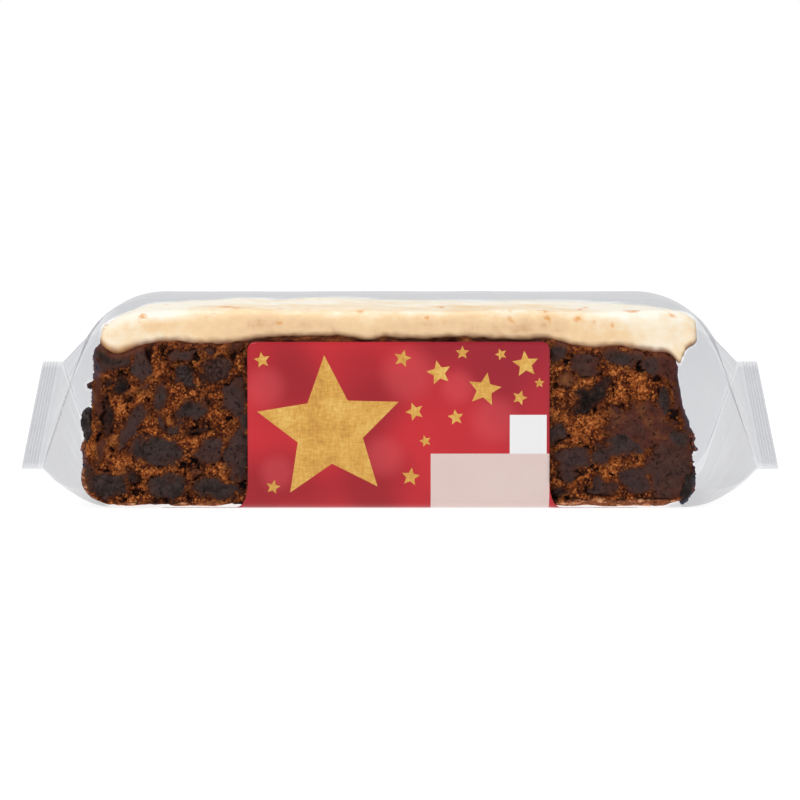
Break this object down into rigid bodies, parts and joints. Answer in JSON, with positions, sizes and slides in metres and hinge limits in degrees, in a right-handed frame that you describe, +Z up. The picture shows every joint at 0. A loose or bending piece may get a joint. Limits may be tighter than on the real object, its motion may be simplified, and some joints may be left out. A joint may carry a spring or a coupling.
{
  "type": "iced fruit cake in a sealed clear pack",
  "caption": "Bar of rich fruit cake with icing on top, sealed in a clear flow-wrap film with crimped ends and a plain printed front panel.",
  "frame": {"origin": "middle of the flat underside", "axes": "+X along the bar to the right, the printed front faces -Y, +Z up"},
  "size_m": [0.1856, 0.052, 0.0515],
  "materials": {
    "clear_film": "thin clear glossy film",
    "printed_film": "printed film, satin gloss",
    "cake": "moist dark crumb with dried fruit",
    "dried_fruit": "dark, moist and wrinkled",
    "icing": "soft cream-coloured icing, satin"
  },
  "bodies": {
    "root": {"film_pack": "clear_film"}
  },
  "joints": []
}
